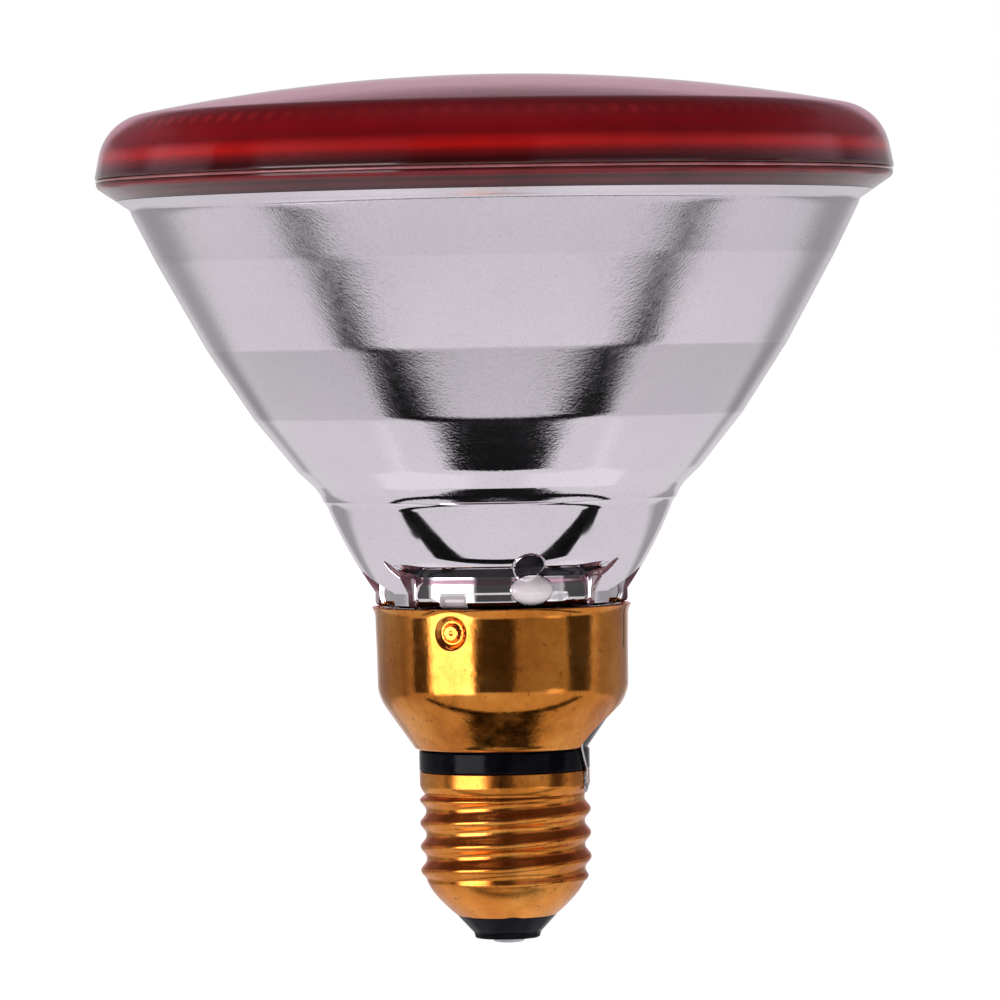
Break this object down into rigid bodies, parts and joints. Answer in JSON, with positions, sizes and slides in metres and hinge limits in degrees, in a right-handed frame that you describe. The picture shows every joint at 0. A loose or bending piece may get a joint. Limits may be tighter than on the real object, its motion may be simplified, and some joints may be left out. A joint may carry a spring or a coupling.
{
  "type": "infrared heat lamp",
  "caption": "Reflector heat lamp with a domed ruby glass lens, a mirrored flared glass bowl and a skirted brass screw cap.",
  "frame": {"origin": "the middle of the centre contact's flat underside, which is where the screw cap bottoms in a lampholder", "axes": "+Z along the lamp's axis from the cap to the lens, as the picture shows it; -Y is the side the picture shows; +X is to its right"},
  "size_m": [0.122, 0.122, 0.1326],
  "materials": {
    "ruby_glass": "gloss, stippled on the inside",
    "clear_glass": "gloss",
    "aluminium_film": "satin vapour-deposited mirror",
    "brass": "tarnished, polished by handling",
    "black_glass": "gloss, opaque",
    "solder": "dull tin-lead solder",
    "nickel": "satin",
    "tungsten": "matt"
  },
  "bodies": {
    "root": {"lens": "ruby_glass", "rim_seal": "clear_glass", "reflector_glass": "clear_glass", "reflector_mirror": "aluminium_film", "exhaust_tip": "clear_glass", "ferrule_side": "nickel", "ferrule_braze_side": "brass", "lead_post_side": "nickel", "filament_clamp_side": "nickel", "ferrule_centre": "nickel", "ferrule_braze_centre": "brass", "lead_post_centre": "nickel", "filament_clamp_centre": "nickel", "filament": "tungsten", "bridge_bead": "clear_glass", "support_wire": "tungsten", "skirt": "brass", "ring_insulator": "black_glass", "screw_shell": "brass", "bottom_insulator": "black_glass", "centre_contact": "brass", "tip_solder": "solder", "side_solder": "solder", "side_wire": "nickel", "centre_wire": "nickel", "fuse_sleeve": "clear_glass"}
  },
  "joints": []
}
